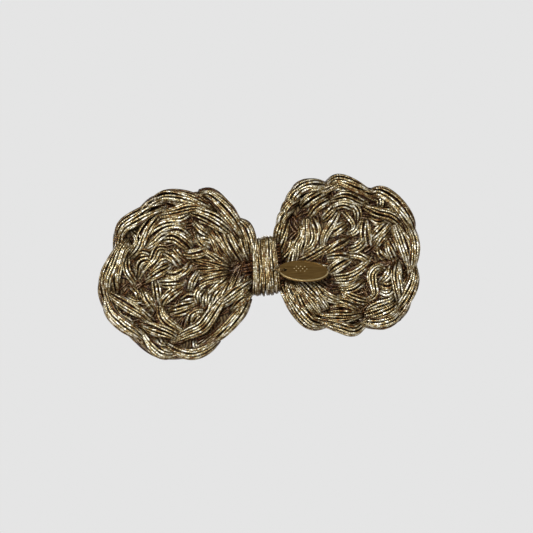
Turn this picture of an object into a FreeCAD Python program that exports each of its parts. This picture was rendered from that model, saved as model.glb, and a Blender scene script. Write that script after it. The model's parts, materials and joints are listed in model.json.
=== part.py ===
import FreeCAD, Part
import math
import os
import re

import Sketcher
from FreeCAD import Placement, Rotation, Vector

# Alligator hair clip carrying a crocheted bow with a small oval tag.
# Frame: +X along the bow to its right, +Z up, the face of the bow towards -Y.
# The origin is on the grip plane, where the closed jaws meet, behind the middle of the bow.

SIZES = {
    # how far a cutting shape runs past the surface that it opens
    "overcut": 1.0,
    # sheet-metal clip: the front plate is the upper jaw, the toothed channel the lower one
    "sheet_gauge": 0.7,
    "grip_gap": 0.1,
    "plate_tip": 30.0,
    "plate_tail": 28.0,
    "plate_half": 4.5,
    "plate_round": 4.0,
    "plate_play": 0.1,
    "hinge_x": 10.0,
    "hinge_y": 2.6,
    "ear_radius": 1.8,
    "ear_foot": 3.2,
    "jaw_half": 3.6,
    "jaw_round": 1.5,
    "nose_depth": 1.4,
    "knee_depth": 5.6,
    "knee_x": 8.0,
    "heel_x": 13.2,
    "tail_lift": 9.9,
    "tail_round": 2.0,
    "flange_step": 1.3,
    "tooth_start": 29.0,
    "tooth_end": 6.0,
    "tooth_pitch": 2.0,
    "tooth_depth": 0.9,
    "pin_radius": 0.8,
    "pin_play": 0.05,
    "pin_head_radius": 1.3,
    "pin_head_height": 0.5,
    # torsion spring
    "wire_radius": 0.4,
    "coil_radius": 1.5,
    "leg_reach": 12.0,
    "leg_side": 1.2,
    # crocheted lobes, from the back of the work to its face
    "waist_half": 3.4,
    "panel_back": 2.4,
    "panel_front": 6.0,
    "edging_back": 1.9,
    "edging_front": 7.4,
    "edging_reach_scale": 0.87,
    "edging_height_scale": 0.76,
    "fan_radius": 13.0,
    "lobe_middle_z": 0.3,
    # waist, wrap and glue
    "waist_front": 8.3,
    "waist_face_half": 3.6,
    "waist_shoulder": 1.3,
    "waist_shoulder_half": 6.1,
    "waist_neck": 3.6,
    "waist_neck_half": 6.2,
    "wrap_left": 3.3,
    "wrap_right": 3.2,
    "wrap_front": 9.3,
    "wrap_face_half": 4.2,
    "wrap_shoulder": 1.7,
    "wrap_shoulder_half": 6.9,
    "wrap_neck_half": 7.1,
    "wrap_turn_in": 0.9,
    "wrap_turn_in_half": 5.6,
    "wrap_inside": 0.55,
    "wrap_inside_half": 4.7,
    "wrap_edge": 1.9,
    "glue_near": 4.6,
    "glue_far": 14.0,
    "glue_half": 3.0,
    # oval tag on its thread loop
    "tag_long": 6.0,
    "tag_short": 3.0,
    "tag_gauge": 0.5,
    "tag_hole_radius": 0.75,
    "tag_hole_inset": 4.5,
    "tag_turn": 10.0,
    "tag_tilt": 36.0,
    "tag_x": 8.6,
    "tag_y": 9.6,
    "tag_z": 2.15,
    "loop_radius": 1.7,
    "loop_thread": 0.2,
    "loop_play": 0.15,
    "loop_back": 1.42,
    "loop_sink": 0.89,
}

TURN_COUNT = 4
OVERSIZE = 40.0

# Each lobe's outline from the top of the waist round to its foot: a bump for each edging stitch.
LEFT_OUTLINE = [
    (-3.4, 10.5), (-7.5, 17.0), (-12.5, 20.6), (-17.5, 19.9), (-23.0, 21.5), (-29.5, 18.2),
    (-35.5, 14.2), (-37.5, 8.0), (-41.3, 2.5), (-40.5, -8.0), (-35.0, -14.5), (-29.0, -19.7),
    (-21.5, -20.9), (-15.0, -18.8), (-8.0, -12.5), (-3.4, -7.5),
]
RIGHT_OUTLINE = [
    (3.4, 10.0), (6.0, 15.3), (10.0, 19.7), (15.0, 18.6), (19.5, 20.3), (26.0, 17.2),
    (30.0, 16.2), (34.5, 12.0), (37.9, 4.5), (37.2, -4.0), (34.5, -13.0), (30.5, -18.0),
    (23.5, -18.0), (18.5, -19.9), (12.0, -17.0), (7.0, -16.4), (3.4, -10.5),
]

# Lower half of the gathered waist's section, from its face to its widest place.
WAIST_CORNERS = [
    ("-waist_front", "-waist_face_half"), ("-waist_front + waist_shoulder", "-waist_shoulder_half"),
    ("-waist_neck", "-waist_neck_half"),
]

doc = FreeCAD.newDocument("hair_clip")
sheet = doc.addObject("Spreadsheet::Sheet", "Sizes")
for row, (alias, number) in enumerate(SIZES.items(), start=1):
    sheet.set(f"A{row}", str(number))
    sheet.setAlias(f"A{row}", alias)
doc.recompute()


def linked(formula):
    """A formula in size names, with each name pointing at its cell."""
    return re.sub(r"[a-z]\w*", r"Sizes.\g<0>", formula)


def size(formula):
    """What a formula in size names comes to now."""
    return float(sheet.evalExpression(linked(formula)))


def new_body(name):
    body = doc.addObject("PartDesign::Body", name + "_body")
    body.Label = name
    return body


def new_sketch(body, role, name, offset="0"):
    """An empty sketch on one of the body's own origin planes, moved along that plane's normal."""
    sketch = body.newObject("Sketcher::SketchObject", name)
    plane = next(item for item in body.Origin.OriginFeatures if item.Role == role)
    sketch.AttachmentSupport = [(plane, "")]
    sketch.MapMode = "FlatFace"
    sketch.setExpression("AttachmentOffset.Base.z", linked(offset))
    return sketch


def tie(sketch, kind, formula, *where):
    """Hold one dimension of a sketch at a formula."""
    index = sketch.addConstraint(Sketcher.Constraint(kind, *where, size(formula)))
    sketch.setExpression(f"Constraints[{index}]", linked(formula))


def polygon(sketch, corners):
    """A closed straight-sided outline, each corner a pair of formulas."""
    spots = [Vector(size(across), size(up), 0) for across, up in corners]
    first = sketch.GeometryCount
    count = len(spots)
    for index in range(count):
        sketch.addGeometry(Part.LineSegment(spots[index], spots[(index + 1) % count]))
    for index in range(count):
        following = first + (index + 1) % count
        sketch.addConstraint(Sketcher.Constraint("Coincident", first + index, 2, following, 1))
    for index, (across, up) in enumerate(corners):
        tie(sketch, "DistanceX", across, -1, 1, first + index, 1)
        tie(sketch, "DistanceY", up, -1, 1, first + index, 1)


def circle(sketch, across, up, radius):
    centre = Vector(size(across), size(up), 0)
    index = sketch.addGeometry(Part.Circle(centre, Vector(0, 0, 1), size(radius)))
    tie(sketch, "DistanceX", across, -1, 1, index, 3)
    tie(sketch, "DistanceY", up, -1, 1, index, 3)
    tie(sketch, "Radius", radius, index)


def grow(body, kind, name, sketch, length, both_ways=True):
    """A Pad or a Pocket of a sketch, on both sides of its plane or along its normal."""
    feature = body.newObject("PartDesign::" + kind, name)
    feature.Profile = sketch
    feature.setExpression("Length", linked(length))
    feature.Midplane = both_ways
    doc.recompute()
    return feature


def round_edges(body, name, base, radius, wanted):
    """Fillet the edges of a feature that the wanted test picks."""
    edges = [f"Edge{n}" for n, edge in enumerate(base.Shape.Edges, start=1) if wanted(edge)]
    fillet = body.newObject("PartDesign::Fillet", name)
    fillet.Base = (base, edges)
    fillet.setExpression("Radius", linked(radius))
    doc.recompute()
    return fillet


def runs_along(edge, axis):
    if edge.Curve.TypeId != "Part::GeomLine":
        return False
    direction = (edge.Vertexes[-1].Point - edge.Vertexes[0].Point).normalize()
    return abs(direction.dot(axis)) > 0.99


def mirrored(corners):
    """The corners, then the same ones with the second coordinate turned over, in reverse."""
    return corners + [(across, f"-({up})") for across, up in reversed(corners)]


def upper_jaw():
    """Flat front plate with round ends, and two ears folded back round the pin."""
    body = new_body("upper_jaw")
    outline = new_sketch(body, "XZ_Plane", "plate_outline", "grip_gap")
    polygon(outline, mirrored([("-plate_tip", "-plate_half"), ("plate_tail", "-plate_half")]))
    plate = grow(body, "Pad", "plate", outline, "sheet_gauge", both_ways=False)
    round_edges(body, "plate_ends", plate, "plate_round",
                lambda edge: runs_along(edge, Vector(0, 1, 0)))
    ears = new_sketch(body, "XY_Plane", "ear_outline")
    polygon(ears, [
        ("hinge_x - ear_foot", "-grip_gap - sheet_gauge"), ("hinge_x + ear_foot", "-grip_gap - sheet_gauge"),
        ("hinge_x + ear_radius", "hinge_y"), ("hinge_x - ear_radius", "hinge_y"),
    ])
    grow(body, "Pad", "ear_feet", ears, "2 * plate_half")
    crowns = new_sketch(body, "XY_Plane", "ear_crown_outline")
    circle(crowns, "hinge_x", "hinge_y", "ear_radius")
    grow(body, "Pad", "ear_crowns", crowns, "2 * plate_half")
    between = new_sketch(body, "XY_Plane", "between_ears")
    polygon(between, [
        ("hinge_x - 2 * ear_foot", "-grip_gap"), ("hinge_x + 2 * ear_foot", "-grip_gap"),
        ("hinge_x + 2 * ear_foot", "hinge_y + 2 * ear_radius"),
        ("hinge_x - 2 * ear_foot", "hinge_y + 2 * ear_radius"),
    ])
    grow(body, "Pocket", "ear_gap", between, "2 * plate_half - 2 * sheet_gauge")
    hole = new_sketch(body, "XY_Plane", "pin_hole_outline")
    circle(hole, "hinge_x", "hinge_y", "pin_radius")
    grow(body, "Pocket", "pin_hole", hole, "4 * plate_half")
    return body


def lower_jaw():
    """Channel with toothed edges, ears inside the upper ones, and a raised thumb tail."""
    body = new_body("lower_jaw")
    side = new_sketch(body, "XY_Plane", "side_outline")
    polygon(side, [
        ("-plate_tip", "grip_gap"), ("-tooth_end", "grip_gap"),
        ("-tooth_end + flange_step", "flange_step"), ("hinge_x - ear_foot", "flange_step"),
        ("hinge_x - ear_radius", "hinge_y - ear_radius"), ("hinge_x + ear_radius", "hinge_y - ear_radius"),
        ("heel_x", "hinge_y"), ("heel_x", "knee_depth"), ("plate_tail", "tail_lift"),
        ("plate_tail", "tail_lift + sheet_gauge"), ("heel_x - sheet_gauge", "knee_depth + sheet_gauge"),
        ("knee_x", "knee_depth + sheet_gauge"), ("-plate_tip", "nose_depth + sheet_gauge"),
    ])
    block = grow(body, "Pad", "channel_block", side, "2 * jaw_half")
    nose = -size("plate_tip")
    noses = round_edges(body, "nose_corners", block, "jaw_round",
                        lambda edge: edge.BoundBox.XMax < nose + 0.01
                        and runs_along(edge, Vector(0, 1, 0)))
    tail = size("plate_tail")
    round_edges(body, "tail_corners", noses, "tail_round",
                lambda edge: edge.BoundBox.XMin > tail - 0.01
                and runs_along(edge, Vector(0, 1, 0)))
    inside = new_sketch(body, "XY_Plane", "channel_outline")
    polygon(inside, [
        ("-plate_tip + sheet_gauge", "-overcut"), ("-plate_tip + sheet_gauge", "nose_depth"),
        ("knee_x", "knee_depth"), ("heel_x + sheet_gauge", "knee_depth"),
        ("heel_x + sheet_gauge", "-overcut"),
    ])
    grow(body, "Pocket", "channel", inside, "2 * jaw_half - 2 * sheet_gauge")
    notch = new_sketch(body, "XY_Plane", "notch_outline")
    polygon(notch, [
        ("-tooth_start", "0"), ("-tooth_start", "grip_gap"),
        ("-tooth_start + tooth_pitch / 2", "grip_gap + tooth_depth"),
        ("-tooth_start + tooth_pitch", "grip_gap"), ("-tooth_start + tooth_pitch", "0"),
    ])
    first_notch = grow(body, "Pocket", "notch", notch, "2 * jaw_half")
    teeth = body.newObject("PartDesign::LinearPattern", "teeth")
    teeth.Originals = [first_notch]
    teeth.Direction = (notch, ["H_Axis"])
    teeth.setExpression("Length", linked("tooth_start - tooth_end - tooth_pitch * 3 / 2"))
    teeth.Occurrences = int((size("tooth_start") - size("tooth_end")) / size("tooth_pitch"))
    body.Tip = teeth
    doc.recompute()
    hole = new_sketch(body, "XY_Plane", "pin_hole_outline")
    circle(hole, "hinge_x", "hinge_y", "pin_radius + pin_play")
    grow(body, "Pocket", "pin_hole", hole, "4 * jaw_half")
    return body


def hinge_pin():
    """Rivet pin through both pairs of ears, with a flat head on each side."""
    body = new_body("hinge_pin")
    shaft = new_sketch(body, "XY_Plane", "shaft_outline")
    circle(shaft, "hinge_x", "hinge_y", "pin_radius")
    grow(body, "Pad", "shaft", shaft, "2 * plate_half")
    for side, offset in (("left", "plate_half"), ("right", "-plate_half - pin_head_height")):
        head = new_sketch(body, "XY_Plane", side + "_head_outline", offset)
        circle(head, "hinge_x", "hinge_y", "pin_head_radius")
        grow(body, "Pad", side + "_head", head, "pin_head_height", both_ways=False)
    return body


def spring_leg(name, start, end, side):
    """A straight wire leg in the plane Z = side, from the coil to the tail that it presses."""
    leg = doc.addObject("Part::Cylinder", name)
    leg.setExpression("Radius", linked("wire_radius"))
    leg.Height = (end - start).Length
    leg.Placement = Placement(start + Vector(0, 0, side), Rotation(Vector(0, 0, 1), end - start))
    return leg


def torsion_spring():
    """Close-wound coil round the pin, with one leg on each tail."""
    wire = size("wire_radius")
    inner = size("coil_radius") - wire
    hinge = Vector(size("hinge_x"), size("hinge_y"), 0)
    half_length = TURN_COUNT * wire
    profile = [Part.LineSegment(Vector(inner, 0, half_length), Vector(inner, 0, -half_length)).toShape()]
    profile.append(Part.LineSegment(Vector(inner, 0, -half_length),
                                    Vector(inner + wire, 0, -half_length)).toShape())
    for turn in range(TURN_COUNT):
        low = -half_length + 2 * wire * turn
        arc = Part.Arc(Vector(inner + wire, 0, low), Vector(inner + 2 * wire, 0, low + wire),
                       Vector(inner + wire, 0, low + 2 * wire))
        profile.append(arc.toShape())
    profile.append(Part.LineSegment(Vector(inner + wire, 0, half_length),
                                    Vector(inner, 0, half_length)).toShape())
    coil = doc.addObject("Part::Feature", "coil")
    coil.Shape = Part.Face(Part.Wire(profile)).revolve(Vector(0, 0, 0), Vector(0, 0, 1), 360)
    coil.Placement = Placement(hinge, Rotation())
    reach = size("leg_reach")
    side = size("leg_side")
    top = Vector(0, size("coil_radius"), 0)
    plate_end = Vector(size("hinge_x") + reach, wire - size("grip_gap"), 0)
    slope = size("(tail_lift - knee_depth) / (plate_tail - heel_x)")
    tail_y = size("knee_depth") + slope * (plate_end.x - size("heel_x")) - wire * math.hypot(1, slope)
    plate_leg = spring_leg("plate_leg", hinge - top, plate_end, -side)
    tail_leg = spring_leg("tail_leg", hinge + top, Vector(plate_end.x, tail_y, 0), side)
    spring = doc.addObject("Part::MultiFuse", "spring")
    spring.Shapes = [coil, plate_leg, tail_leg]
    spring.Label = "torsion_spring"
    return spring


def outline_prism(points, back, front):
    """A prism on a smooth outline that is closed by a straight side at the waist."""
    spots = [Vector(x, -back, z) for x, z in points]
    curve = Part.BSplineCurve()
    curve.interpolate(spots)
    closing = Part.LineSegment(spots[-1], spots[0]).toShape()
    face = Part.Face(Part.Wire([curve.toShape(), closing]))
    return face.extrude(Vector(0, back - front, 0))


def lobe(side, outline):
    """One lobe in three regions of crochet: raised edging, outer row of fans, inner row of fans."""
    waist_x = outline[0][0]
    middle_z = size("lobe_middle_z")
    reach = size("edging_reach_scale")
    height = size("edging_height_scale")
    inner = [(waist_x + reach * (x - waist_x), middle_z + height * (z - middle_z)) for x, z in outline]
    edging = outline_prism(outline, size("edging_back"), size("edging_front"))
    edging = edging.cut(outline_prism(inner, size("edging_back - overcut"), size("edging_front + overcut")))
    panel = outline_prism(inner, size("panel_back"), size("panel_front"))
    row_end = Part.makeCylinder(size("fan_radius"), OVERSIZE, Vector(waist_x, OVERSIZE / 2, middle_z),
                                Vector(0, -1, 0))
    regions = {"edging": edging, "outer_fan": panel.cut(row_end), "inner_fan": panel.common(row_end)}
    made = []
    for name, shape in regions.items():
        piece = doc.addObject("Part::Feature", f"{side}_{name}_shape")
        piece.Shape = shape.Solids[0]
        piece.Label = f"{side}_{name}"
        piece.Placement = Placement()
        made.append(piece)
    return made


def glue_pad(side, start):
    """Flat pad of glue between the back of a lobe and the plate."""
    pad = doc.addObject("Part::Box", f"glue_{side}")
    pad.Label = f"glue_pad_{side}"
    pad.setExpression("Length", linked("glue_far - glue_near"))
    pad.setExpression("Width", linked("panel_back - grip_gap - sheet_gauge"))
    pad.setExpression("Height", linked("2 * glue_half"))
    pad.setExpression("Placement.Base.x", linked(start))
    pad.setExpression("Placement.Base.y", linked("-panel_back"))
    pad.setExpression("Placement.Base.z", linked("-glue_half"))
    return pad


def tunnelled(body, name):
    """The body with a round tunnel through it, in which the tag's loop can turn."""
    cut = doc.addObject("Part::Cut", name + "_cut")
    cut.Base = body
    cut.Tool = loop_ring(name + "_tunnel", "loop_thread + loop_play")
    cut.Label = name
    return cut


def waist():
    """Gathered middle of the bow, pressed flat on the plate."""
    body = new_body("waist_core")
    section = new_sketch(body, "YZ_Plane", "waist_section", "-waist_half")
    polygon(section, mirrored(WAIST_CORNERS + [("-grip_gap - sheet_gauge", "-plate_half")]))
    grow(body, "Pad", "waist_block", section, "2 * waist_half", both_ways=False)
    return tunnelled(body, "waist")


def centre_wrap():
    """Band of thread turns round the waist and the plate."""
    body = new_body("centre_wrap_band")
    outside = new_sketch(body, "YZ_Plane", "wrap_outside", "-wrap_left")
    polygon(outside, mirrored([
        ("-wrap_front", "-wrap_face_half"), ("-wrap_front + wrap_shoulder", "-wrap_shoulder_half"),
        ("-waist_neck", "-wrap_neck_half"), ("-wrap_turn_in", "-wrap_turn_in_half"),
        ("wrap_inside", "-wrap_inside_half"),
    ]))
    band = grow(body, "Pad", "wrap_band", outside, "wrap_left + wrap_right", both_ways=False)
    front = -size("wrap_front")
    front_edges = [f"Edge{n}" for n, edge in enumerate(band.Shape.Edges, start=1)
                   if edge.BoundBox.YMax < front + 0.01 and runs_along(edge, Vector(0, 0, 1))]
    chamfer = body.newObject("PartDesign::Chamfer", "front_edges")
    chamfer.Base = (band, front_edges)
    chamfer.setExpression("Size", linked("wrap_edge"))
    inside = new_sketch(body, "YZ_Plane", "wrap_hole", "wrap_right")
    polygon(inside, mirrored(WAIST_CORNERS + [
        ("-grip_gap - sheet_gauge", "-plate_half - plate_play"), ("-grip_gap", "-plate_half - plate_play"),
    ]))
    grow(body, "Pocket", "waist_hole", inside, "wrap_left + wrap_right", both_ways=False)
    return tunnelled(body, "centre_wrap")


def tag_turn():
    """Turn of the tag's long axis in the plane of the bow."""
    return Rotation(Vector(0, 1, 0), size("tag_turn"))


def tag_hole():
    """Middle of the tag's hole, where the loop passes through it."""
    middle = Vector(size("tag_x"), -size("tag_y"), -size("tag_z"))
    return middle - tag_turn().multVec(Vector(size("tag_hole_inset"), 0, 0))


def loop_ring(name, thread):
    """A ring through the tag's hole and under the turns at the right edge of the wrap."""
    ring = doc.addObject("Part::Torus", name)
    ring.setExpression("Radius1", linked("loop_radius"))
    ring.setExpression("Radius2", linked(thread))
    middle = tag_hole() + tag_turn().multVec(Vector(-size("loop_back"), size("loop_sink"), 0))
    ring.Placement = Placement(middle, tag_turn())
    return ring


def tag_loop():
    ring = loop_ring("loop", "loop_thread")
    ring.Label = "tag_loop"
    return ring


def tag():
    """Oval plate with a hole near its left end, its lower edge leaning forwards."""
    oval = doc.addObject("Part::Ellipse", "tag_outline")
    oval.setExpression("MajorRadius", linked("tag_long"))
    oval.setExpression("MinorRadius", linked("tag_short"))
    plate = doc.addObject("Part::Extrusion", "tag_plate")
    plate.Base = oval
    plate.Dir = Vector(0, 0, 1)
    plate.DirMode = "Custom"
    plate.setExpression("LengthFwd", linked("tag_gauge"))
    plate.Solid = True
    hole = doc.addObject("Part::Cylinder", "tag_hole")
    hole.setExpression("Radius", linked("tag_hole_radius"))
    hole.Height = OVERSIZE
    hole.Placement = Placement(Vector(-size("tag_hole_inset"), 0, -OVERSIZE / 2), Rotation())
    pierced = doc.addObject("Part::Cut", "pierced_tag")
    pierced.Base = plate
    pierced.Tool = hole
    pierced.Label = "tag"
    lean = tag_turn() * Rotation(Vector(1, 0, 0), 90 - size("tag_tilt"))
    middle = Vector(size("tag_x"), -size("tag_y"), -size("tag_z"))
    face_back = lean.multVec(Vector(0, 0, -size("tag_gauge") / 2))
    pierced.Placement = Placement(middle + face_back, lean)
    return pierced


def check(item):
    if any(word in state for state in item.State for word in ("Invalid", "Error")):
        raise RuntimeError(f"{item.Label} failed: {item.State}")


def build():
    pieces = [upper_jaw(), lower_jaw(), hinge_pin(), torsion_spring()]
    pieces += [glue_pad("left", "-glue_far"), glue_pad("right", "glue_near")]
    pieces += lobe("left", LEFT_OUTLINE) + lobe("right", RIGHT_OUTLINE)
    pieces += [waist(), centre_wrap(), tag_loop(), tag()]
    doc.recompute()
    for item in doc.Objects:
        check(item)
    os.makedirs("parts", exist_ok=True)
    for piece in pieces:
        shape = piece.Shape
        if shape.isNull() or not shape.isValid() or not shape.Solids:
            raise RuntimeError(f"{piece.Label} has no valid solid")
        print(f"{piece.Label:18} {len(shape.Solids)} solid {shape.Volume:9.2f} mm3")
        shape.exportStep(f"parts/{piece.Label}.step")


build()
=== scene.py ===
import json
import math

import bmesh
import bpy
import numpy as np
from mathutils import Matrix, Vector


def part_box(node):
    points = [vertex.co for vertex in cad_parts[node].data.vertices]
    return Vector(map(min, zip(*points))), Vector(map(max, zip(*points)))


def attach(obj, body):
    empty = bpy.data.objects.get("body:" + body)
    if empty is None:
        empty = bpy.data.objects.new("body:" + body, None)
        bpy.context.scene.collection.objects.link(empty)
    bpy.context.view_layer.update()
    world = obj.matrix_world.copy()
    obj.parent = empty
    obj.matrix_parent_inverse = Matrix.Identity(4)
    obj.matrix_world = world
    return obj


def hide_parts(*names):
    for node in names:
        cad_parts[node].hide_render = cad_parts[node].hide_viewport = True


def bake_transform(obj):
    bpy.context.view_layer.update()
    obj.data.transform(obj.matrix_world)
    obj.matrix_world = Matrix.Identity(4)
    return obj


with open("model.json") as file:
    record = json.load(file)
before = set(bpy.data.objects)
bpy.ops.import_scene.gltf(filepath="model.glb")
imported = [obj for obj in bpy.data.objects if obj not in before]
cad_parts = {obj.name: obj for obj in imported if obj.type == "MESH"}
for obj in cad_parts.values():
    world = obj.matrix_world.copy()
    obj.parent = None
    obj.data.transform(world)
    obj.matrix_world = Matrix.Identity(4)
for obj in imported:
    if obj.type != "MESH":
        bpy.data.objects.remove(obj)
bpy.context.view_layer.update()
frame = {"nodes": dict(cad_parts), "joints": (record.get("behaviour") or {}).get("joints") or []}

MM = 0.001
FRONT = np.array([0.0, -1.0, 0.0])
DEPTH_AXIS = np.array([0.0, 1.0, 0.0])

# Thread sizes, in millimetres: the radius of a strand in a stitch and in the wrap, and the room that
# each strand takes round its bundle.
STRAND = 0.30
WRAP_STRAND = 0.29
STRAND_PITCH = 0.66

# How finely strands are divided: sides round a section, and millimetres from one to the next.
STRAND_SIDES, UNDER_SIDES, FILL_SIDES, WIRE_SIDES = 8, 6, 5, 14
SAMPLE_STEP, FILL_STEP, WRAP_STEP, WIRE_STEP = 0.60, 0.90, 0.5, 0.35

# Irregularity inside a bundle: its turn and some strands' crossing, in radians, and each strand's
# drift in millimetres, share of the usual radius, and tint.
TWIST = 0.7
CROSSING = 0.5
DRIFT_ACROSS, DRIFT_DEPTH, DRIFT_KNOTS = 0.16, 0.14, 5
THINNEST, THICKEST = 0.84, 1.08
TINT_SPREAD = 0.35

# The rim: how much its stitches lean outwards, how much painted shade darkens the strands on their
# outer side, and how far from the bow's middle its core stops.
RIM_LEAN = 0.55
EDGE_SHADE = 0.5
WAIST_CLEAR = 8.0

# How far the CAD solids' faces and backs stand in front of the origin.
PANEL_FACE, PANEL_BACK = (-corner.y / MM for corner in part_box("left_outer_fan"))
EDGING_FACE, EDGING_BACK = (-corner.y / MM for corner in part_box("left_edging"))


# -------- materials

class Look:
    """A material in the making, with the shader nodes that draw its pattern."""

    def __init__(self, name):
        self.material = bpy.data.materials.new(name)
        self.material.use_nodes = True
        self.nodes = self.material.node_tree.nodes
        self.link = self.material.node_tree.links.new
        self.shader = self.nodes["Principled BSDF"].inputs
        self.place = self.add("TexCoord").outputs["Object"]

    def add(self, kind, **values):
        """A shader node with its properties and inputs set; _ stands for the space in a name."""
        node = self.nodes.new("ShaderNode" + kind)
        for key, value in values.items():
            label = key.replace("_", " ")
            if label in node.inputs:
                node.inputs[label].default_value = value
            else:
                setattr(node, key, value)
        return node

    def noise(self, vector=None, **values):
        """A noise's value, in the piece's own space unless it is given another."""
        node = self.add("TexNoise", **values)
        self.link(self.place if vector is None else vector, node.inputs["Vector"])
        return node.outputs["Fac"]

    def calculate(self, operation, *terms):
        """A Math node's result, fed by sockets or plain numbers."""
        node = self.add("Math", operation=operation)
        for socket, term in zip(node.inputs, terms):
            if isinstance(term, (int, float)):
                socket.default_value = term
            else:
                self.link(term, socket)
        return node.outputs[0]

    def between(self, value, **limits):
        """The value carried over from one range to another."""
        node = self.add("MapRange", **limits)
        self.link(value, node.inputs["Value"])
        return node.outputs["Result"]

    def contrast(self, noise):
        """A noise's value stretched so that it reaches both nought and one."""
        return self.between(noise, From_Min=0.34, From_Max=0.66)

    def ramp(self, value, stops):
        """The colour at value, from stops of a place and a colour."""
        node = self.add("ValToRGB")
        elements = node.color_ramp.elements
        while len(elements) < len(stops):
            elements.new(0.5)
        for element, (place, colour) in zip(elements, stops):
            element.position = place
            element.color = (*colour, 1.0)
        self.link(value, node.inputs["Fac"])
        return node.outputs["Color"]

    def finish(self, colour, relief, strength, distance, roughness=None):
        """Joins the pattern to the shader: its colour, its relief as a bump, and its roughness."""
        self.link(colour, self.shader["Base Color"])
        if roughness is not None:
            self.link(roughness, self.shader["Roughness"])
        bump = self.add("Bump", Strength=strength, Distance=distance)
        self.link(relief, bump.inputs["Height"])
        self.link(bump.outputs["Normal"], self.shader["Normal"])
        return self.material


# Thread: the foil's colour from dull to bright, its palest tones painted highlight, and the painted
# shade that the grooves between strands and deeper stitches leave of it.
THREAD_TONES = [
    (0.26, (0.128, 0.058, 0.016)),
    (0.44, (0.302, 0.222, 0.092)),
    (0.58, (0.540, 0.486, 0.318)),
    (0.72, (0.96, 0.95, 0.87)),
]
GROOVE_SHADE_TONES = [
    (0.0, (0.044, 0.012, 0.002)),
    (0.55, (0.102, 0.042, 0.009)),
    (0.80, (0.585, 0.545, 0.470)),
    (1.0, (1.0, 1.0, 1.0)),
]
BASE_TONE = -0.05
FOIL_PITCH = 0.55
FOIL_WAVER = 22.0
# How often the painted highlight streaks along each strand change, per millimetre.
HIGHLIGHT_STREAKS_PER_MM = 0.55


def thread_material():
    """Metallic gold and bronze cord: foil wound round each strand, with painted highlight in bright
    lengths and glints, and painted shade between strands.
    """
    look = Look("metallic_thread")
    tint, along, ridge = (look.add("Attribute", attribute_name=name).outputs["Fac"]
                          for name in ("tint", "along", "ridge"))
    # Glints: bright flecks painted into the foil's colour, also used for its roughness and relief.
    glints = look.noise(Scale=2300.0, Detail=2.0, Roughness=0.6)
    patches = look.noise(Scale=190.0, Detail=2.0, Roughness=0.5)
    # Painted highlight streaks: brighter and duller lengths along each strand.
    highlight_streaks = look.add("TexNoise", noise_dimensions="1D", Scale=HIGHLIGHT_STREAKS_PER_MM, Detail=2.0, Roughness=0.6)
    look.link(along, highlight_streaks.inputs["W"])
    winding = look.calculate("MULTIPLY", along, 2 * math.pi / FOIL_PITCH)
    foil = look.calculate("SINE", look.calculate("MULTIPLY_ADD", patches, FOIL_WAVER, winding))
    tone = BASE_TONE
    for source, share in ((look.contrast(glints), 0.26), (look.contrast(highlight_streaks.outputs["Fac"]), 0.34),
                          (patches, 0.25), (tint, 0.25), (foil, 0.035)):
        tone = look.calculate("MULTIPLY_ADD", source, share, tone)
    # The foil's colour multiplied by the painted shade of the grooves between strands and of deeper
    # stitches.
    darkened = look.add("Mix", data_type="RGBA", blend_type="MULTIPLY", Factor=1.0)
    for socket, value, tones in zip(darkened.inputs[6:8], (tone, ridge), (THREAD_TONES, GROOVE_SHADE_TONES)):
        look.link(look.ramp(value, tones), socket)
    look.shader["Metallic"].default_value = 0.85
    look.shader["Coat Weight"].default_value = 0.10
    look.shader["Coat Roughness"].default_value = 0.22
    relief = look.calculate("MULTIPLY_ADD", foil, 0.3, glints)
    return look.finish(darkened.outputs[2], relief, 0.8, 0.00011,
                       look.between(glints, To_Min=0.24, To_Max=0.50))


def packed_material():
    """Thread deep in the work, painted dull dark brown as shade, darkest where its relief lies lowest."""
    look = Look("packed_thread_painted_shade")
    hollows = look.noise(Scale=260.0, Detail=3.0, Roughness=0.6)
    fibres = look.noise(Scale=1900.0, Detail=2.0, Roughness=0.6)
    strands = look.add("TexWave", Scale=420.0, Distortion=7.0, Detail=1.0)
    look.link(look.place, strands.inputs["Vector"])
    depth = look.add("MixRGB", Fac=0.35)
    look.link(hollows, depth.inputs["Color1"])
    look.link(strands.outputs["Fac"], depth.inputs["Color2"])
    depth = depth.outputs["Color"]
    look.shader["Specular IOR Level"].default_value = 0.1
    # Painted shade: near black in the hollows, dark brown elsewhere.
    colour = look.ramp(depth, [(0.32, (0.020, 0.011, 0.005)), (0.72, (0.150, 0.105, 0.050))])
    return look.finish(colour, depth, 0.9, 0.0003, look.between(fibres, To_Min=0.55, To_Max=0.85))


def metal_material(name, dark, light, roughness, grain, scratch_scale):
    """Stamped or rolled metal: faint tarnish, and a fine grain drawn out along the part."""
    look = Look(name)
    drawn_out = look.add("Mapping", Scale=(0.06, 1.0, 1.0))
    look.link(look.place, drawn_out.inputs["Vector"])
    scratches = look.noise(drawn_out.outputs["Vector"], Scale=scratch_scale, Detail=4.0, Roughness=0.7)
    patches = look.noise(Scale=150.0, Detail=5.0, Roughness=0.65)
    tone = look.calculate("MULTIPLY_ADD", scratches, 0.6, look.calculate("MULTIPLY", patches, 0.4))
    look.shader["Metallic"].default_value = 1.0
    return look.finish(look.ramp(tone, [(0.38, dark), (0.60, light)]), scratches, grain, 0.00004,
                       look.between(tone, To_Min=roughness - 0.08, To_Max=roughness + 0.14))


def glue_material():
    """Cloudy set glue with trapped haze."""
    look = Look("set_glue")
    haze = look.add("TexNoise", Scale=420.0, Detail=3.0, Roughness=0.6).outputs["Fac"]
    look.shader["Roughness"].default_value = 0.32
    look.shader["Subsurface Weight"].default_value = 0.25
    look.shader["Subsurface Scale"].default_value = 0.0015
    colour = look.ramp(haze, [(0.35, (0.62, 0.55, 0.40)), (0.70, (0.83, 0.79, 0.68))])
    return look.finish(colour, haze, 0.3, 0.0001)


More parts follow.
